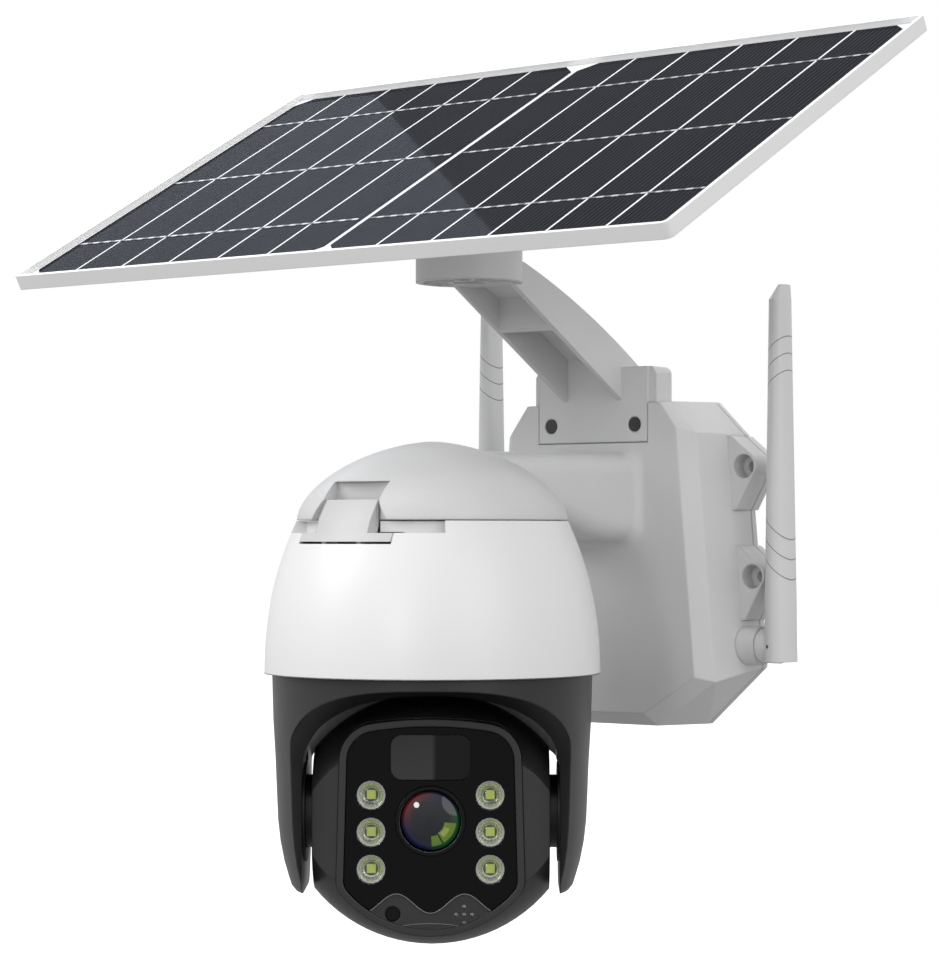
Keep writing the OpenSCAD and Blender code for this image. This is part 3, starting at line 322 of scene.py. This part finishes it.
MATS = {
    "grey": moulded("light_grey_plastic", (0.66, 0.66, 0.66), 0.42, 0.3, edge=0.0012),
    "white": moulded("white_plastic", (0.82, 0.82, 0.82), 0.34, 0.12, tone=0.004, wear=0.01),
    "black": moulded("satin_black_plastic", (0.022, 0.022, 0.023), 0.36, 0.3, tone=0.12,
                     edge=0.0008),
    "gloss": moulded("gloss_black_plastic", (0.003, 0.003, 0.0035), 0.2, 0.05, tone=0.1,
                     edge=0.0006, Specular_IOR_Level=0.2),
    "latch": moulded("white_latch_plastic", (0.58, 0.58, 0.58), 0.36, 0.12, tone=0.01),
    "rubber": moulded("rubber", (0.03, 0.03, 0.03), 0.8, 0.5),
    "steel": brushed("plated_steel", (0.55, 0.55, 0.57), 0.3),
    "dark_steel": brushed("dark_steel", (0.09, 0.09, 0.09), 0.45),
    "gear": moulded("acetal", (0.72, 0.69, 0.6), 0.4, 0.1),
    "board": circuit("circuit_board"),
    "cell_wrap": moulded("cell_sleeve", (0.03, 0.12, 0.35), 0.25, 0.1),
    "cell": solar("solar_cells"),
    "ribbon": ribbon("tinned_ribbon"),
    "sheet": moulded("white_laminate", (0.86, 0.87, 0.88), 0.4, 0.1, tone=0.01),
    "panel_glass": clear("clear_cover", (0.02, 0.02, 0.02), 0.04, 1.4, 0.02,
                         Specular_IOR_Level=0.0),
    "face_glass": moulded("gloss_black_glass", (0.002, 0.002, 0.0025), 0.08, 0.0, tone=0.1,
                          Specular_IOR_Level=0.16),
    "pir": window("smoked_window_painted_reflection"),
    "lens": clear("coated_lens", (0.01, 0.012, 0.02), 0.02, 1.5, 0.3),
    "lamp_lens": clear("clear_lamp_lens", (0.3, 0.3, 0.3), 0.02, 1.5, 0.14),
    # Painted glow: the chips give off a faint yellow-green light, though the lamps are not
    # lit.
    "led": moulded("phosphor", (0.62, 0.72, 0.1), 0.5, 0.1, Emission_Strength=0.12,
                   Emission_Color=(0.7, 0.85, 0.2, 1)),
    "antenna": antenna("antenna_plastic", (0.7, 0.7, 0.7), 0.36),
    "element": lens_element_painted_reflections("lens_element_painted_reflections"),
    "mirror": moulded("lamp_mirror", (0.78, 0.8, 0.76), 0.16, 0.0, Metallic=0.85),
    "trim": moulded("edge_gloss", (0.16, 0.16, 0.165), 0.18, 0.0),
    "bright_trim": moulded("edge_silver", (0.42, 0.43, 0.44), 0.18, 0.0),
}
FINISH = {e["node"]: MATS[e["material_slot"]] for e in frame["record"]["subparts"]}
FINISH["bracket_screws"] = MATS["dark_steel"]
FINISH["front_latch"] = MATS["latch"]
FINISH["antenna_left"] = MATS["antenna"]
FINISH["antenna_right"] = MATS["antenna"]
for name, obj in nodes.items():
    obj.data.materials.clear()
    obj.data.materials.append(FINISH[name])


# ---------- pieces that the CAD model leaves to this script ----------

def add(name, verts, faces, mat, body, smooth=True):
    mesh = bpy.data.meshes.new(name)
    mesh.from_pydata(verts, [], faces)
    mesh.validate()
    for poly in mesh.polygons:
        poly.use_smooth = smooth
    mesh.materials.append(MATS[mat])
    obj = bpy.data.objects.new(name, mesh)
    bpy.context.collection.objects.link(obj)
    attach(obj, body)
    return obj


def on_head(x, depth, z):
    """A point of the head, at a depth behind the bezel's front."""
    return HEAD @ Vector((x, depth - FACE, z))


def bead(name, line, radius, mat="trim", sides=8):
    """A fine raised line along points of the face, closed at its ends."""
    verts, faces = [], []
    for i, (x, depth, z) in enumerate(line):
        before, after = line[max(i - 1, 0)], line[min(i + 1, len(line) - 1)]
        along = Vector((after[0] - before[0], 0, after[2] - before[2])).normalized()
        across = Vector((-along.z, 0, along.x))
        for k in range(sides):
            a = 2 * math.pi * k / sides
            p = across * (radius * math.cos(a)) + Vector((0, radius * math.sin(a), 0))
            verts.append(on_head(x + p.x, depth + p.y, z + p.z))
    for i in range(len(line) - 1):
        for k in range(sides):
            n = (k + 1) % sides
            faces.append((i * sides + k, i * sides + n, (i + 1) * sides + n,
                          (i + 1) * sides + k))
    last = (len(line) - 1) * sides
    faces.append(tuple(reversed(range(sides))))
    faces.append(tuple(last + k for k in range(sides)))
    return add(name, verts, faces, mat, "head")


def wave(x):
    """Height of the face glass's lower edge, from the tilt axis."""
    return WAVE_Z - WAVE_H * math.cos(2 * math.pi * min(abs(x), WAVE_L) / WAVE_L)


def wave_edge():
    """Glossy edge along the wave in the face glass."""
    reach, steps, depth = 0.0228, 60, 0.0009
    return bead("wave_edge", [
        (reach * t / steps, depth, wave(reach * t / steps)) for t in range(-steps, steps + 1)
    ], 0.00022)


def chin_edge():
    """Glossy edge across the chin, bowed down at its ends."""
    reach, steps, depth, height, bow = 0.0148, 20, 0.0016, -0.0396, 0.0016
    return bead("chin_edge", [
        (reach * t / steps, depth, height - bow * (t / steps) ** 2)
        for t in range(-steps, steps + 1)
    ], 0.00018)


def lens_edge():
    """Silvery edge round the lens."""
    radius, steps, depth = 0.0119, 36, 0.0001
    return bead("lens_edge", [
        (radius * math.cos(math.pi * n / steps), depth,
         LENS_Z + radius * math.sin(math.pi * n / steps))
        for n in range(2 * steps + 1)
    ], 0.00024, "bright_trim")


def cell_gaps():
    """White laminate that shows between the cell strips, level with them to 0.02 mm."""
    top, thick = GLASS_TOP - 0.00088, 0.0003
    verts, faces = [], []
    for side in (-1, 1):
        for i in range(1, STRIPS):
            x = side * HALVES_APART / 2 + (i - STRIPS // 2) * STRIP_PITCH
            first = len(verts)
            for z in (top - thick, top):
                for dx, dy in ((-1, -1), (1, -1), (1, 1), (-1, 1)):
                    verts.append(PANEL @ Vector((
                        x + dx * STRIP_GAP / 2, PANEL_DY + dy * STRIP_L / 2, z)))
            faces += [(first + 3, first + 2, first + 1, first),
                      (first + 4, first + 5, first + 6, first + 7)]
            faces += [(first + k, first + (k + 1) % 4, first + 4 + (k + 1) % 4, first + 4 + k)
                      for k in range(4)]
    return add("cell_gaps", verts, faces, "sheet", "panel", smooth=False)


def bowls():
    """Six faceted mirror bowls behind the lamp lenses, each round its lamp's chip."""
    # Radius and depth of each ring, from the mouth of a bowl inwards
    rings = ((0.0054, 0.00318), (0.0046, 0.0033), (0.0041, 0.0040), (0.0034, 0.0047),
             (0.0026, 0.0052))
    sides = 18
    verts, faces = [], []
    for side in (-1, 1):
        for k in (-1, 0, 1):
            first = len(verts)
            for level, (radius, depth) in enumerate(rings):
                for n in range(sides):
                    a = 2 * math.pi * (n + 0.5 * (level % 2)) / sides
                    verts.append(on_head(side * LED_X + radius * math.cos(a), depth,
                                         LED_Z + k * LED_PITCH + radius * math.sin(a)))
            for level in range(len(rings) - 1):
                for n in range(sides):
                    a, b = first + level * sides, first + (level + 1) * sides
                    m = (n + 1) % sides
                    if level % 2:
                        faces += [(a + n, a + m, b + m), (a + n, b + m, b + n)]
                    else:
                        faces += [(a + n, a + m, b + n), (a + m, b + m, b + n)]
    return add("lamp_mirrors", verts, faces, "mirror", "head", smooth=False)


def lens():
    """The domed front lens. Its coatings' reflections are painted as colours over a dark
    barrel.
    """
    rings, sides, height, back = 14, 64, 0.0022, 0.0023
    verts = [on_head(0, back - height, LENS_Z)]
    faces = []
    for i in range(1, rings + 1):
        t = i / rings
        for n in range(sides):
            a = 2 * math.pi * n / sides
            verts.append(on_head(LENS_R * t * math.cos(a), back - height * (1 - t * t),
                                 LENS_Z + LENS_R * t * math.sin(a)))
    for n in range(sides):
        m = (n + 1) % sides
        faces.append((0, 1 + n, 1 + m))
        for i in range(1, rings):
            a, b = 1 + (i - 1) * sides, 1 + i * sides
            faces.append((a + n, b + n, b + m, a + m))
    faces.append(tuple(reversed([1 + (rings - 1) * sides + n for n in range(sides)])))
    return add("coated_lens", verts, faces, "element", "head")


wave_edge()
chin_edge()
cell_gaps()
bowls()
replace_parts(lens(), "lens_glass")
lens_edge()


# ---------- lights ----------

AIM = (0, -0.12, 0)                         # the middle of the object, nearly


def lamp(name, shape, size, power, color):
    """An area light that the camera doesn't see."""
    data = bpy.data.lights.new(name, "AREA")
    data.shape = shape
    data.size = size
    data.energy = power
    data.color = color
    obj = bpy.data.objects.new(name, data)
    bpy.context.collection.objects.link(obj)
    obj.visible_camera = False
    return obj


def area(name, at, target, size, power):
    """A round light that faces a target."""
    obj = lamp(name, "DISK", size, power, (1, 1, 1))
    obj.location = at
    obj.rotation_euler = (Vector(target) - Vector(at)).to_track_quat("-Z", "Y").to_euler()


def card(name, start, end, side, width, overhang, power):
    """A bluish soft box whose straight edge runs past start and end, reaching towards side."""
    start, end, side = Vector(start), Vector(end), Vector(side)
    edge = (end - start).normalized()
    mid = (start + end) / 2
    reach = side - mid
    reach = (reach - edge * reach.dot(edge)).normalized()
    length = (end - start).length + 2 * overhang
    obj = lamp(name, "RECTANGLE", length, power, (0.78, 0.88, 1.0))
    obj.data.size_y = width
    obj.matrix_world = Matrix.Translation(mid + reach * width / 2) @ Matrix(
        (-edge, reach, -edge.cross(reach))).transposed().to_4x4()


area("key", (-1.0, -1.4, 1.0), AIM, 1.2, 13)
area("right_fill", (1.6, -0.6, 0.5), AIM, 1.2, 5.6)
area("overhead", (0, -0.3, 1.7), AIM, 1.4, 12)
area("lens_spark", (0.344, -1.272, 0.231), (0.02, -0.168, -0.113), 0.16, 1.2)
card("panel_reflection", (-0.895, 0.586, 0.848), (-0.653, 0.388, 0.821),
     (-1.042, 0.302, 0.719), 0.55, 0.3, 2.6)


# ---------- world, floor and camera ----------

def studio():
    """White to the camera. To surfaces, a soft light that is stronger from above."""
    low, high = 0.36, 0.85
    world = bpy.data.worlds.new("studio")
    world.use_nodes = True
    tree = world.node_tree
    soft = tree.nodes["Background"]
    soft.inputs[0].default_value = (1, 1, 1, 1)
    sky = tree.nodes.new("ShaderNodeSeparateXYZ")
    coords = tree.nodes.new("ShaderNodeTexCoord")
    tree.links.new(coords.outputs["Generated"], sky.inputs[0])
    level = tree.nodes.new("ShaderNodeMapRange")
    for i, v in zip((1, 2, 3, 4), (-0.5, 0.5, low, high)):
        level.inputs[i].default_value = v
    tree.links.new(sky.outputs[2], level.inputs[0])
    tree.links.new(level.outputs[0], soft.inputs[1])
    seen = tree.nodes.new("ShaderNodeBackground")
    seen.inputs[0].default_value = (1, 1, 1, 1)
    ray = tree.nodes.new("ShaderNodeLightPath")
    pick = tree.nodes.new("ShaderNodeMixShader")
    tree.links.new(ray.outputs["Is Camera Ray"], pick.inputs[0])
    tree.links.new(soft.outputs[0], pick.inputs[1])
    tree.links.new(seen.outputs[0], pick.inputs[2])
    tree.links.new(pick.outputs[0], tree.nodes["World Output"].inputs[0])
    return world


bpy.context.scene.world = studio()
bpy.context.scene.view_settings.view_transform = "Standard"

bpy.ops.mesh.primitive_plane_add(size=30, location=(0, 0, -0.5))
floor = bpy.context.object
floor.name = "floor"
pale = Shader("pale_floor", (0.9, 0.9, 0.9), 0.9, Emission_Color=(1, 1, 1, 1),
              Emission_Strength=0.6)
floor.data.materials.append(pale.mat)
floor.visible_diffuse = False
floor.visible_glossy = False

cam = bpy.data.objects.new("camera", bpy.data.cameras.new("camera"))
bpy.context.collection.objects.link(cam)
cam.location = (0.7247, -1.0125, -0.0063)
az, el = math.radians(39.09), math.radians(1.15)
look = Vector((-math.sin(az) * math.cos(el), math.cos(az) * math.cos(el), math.sin(el)))
cam.rotation_euler = look.to_track_quat("-Z", "Y").to_euler()
cam.data.lens = 110.15
cam.data.sensor_width = 36
cam.data.sensor_fit = "AUTO"
cam.data.clip_start = 0.01
cam.data.clip_end = 100
bpy.context.scene.camera = cam
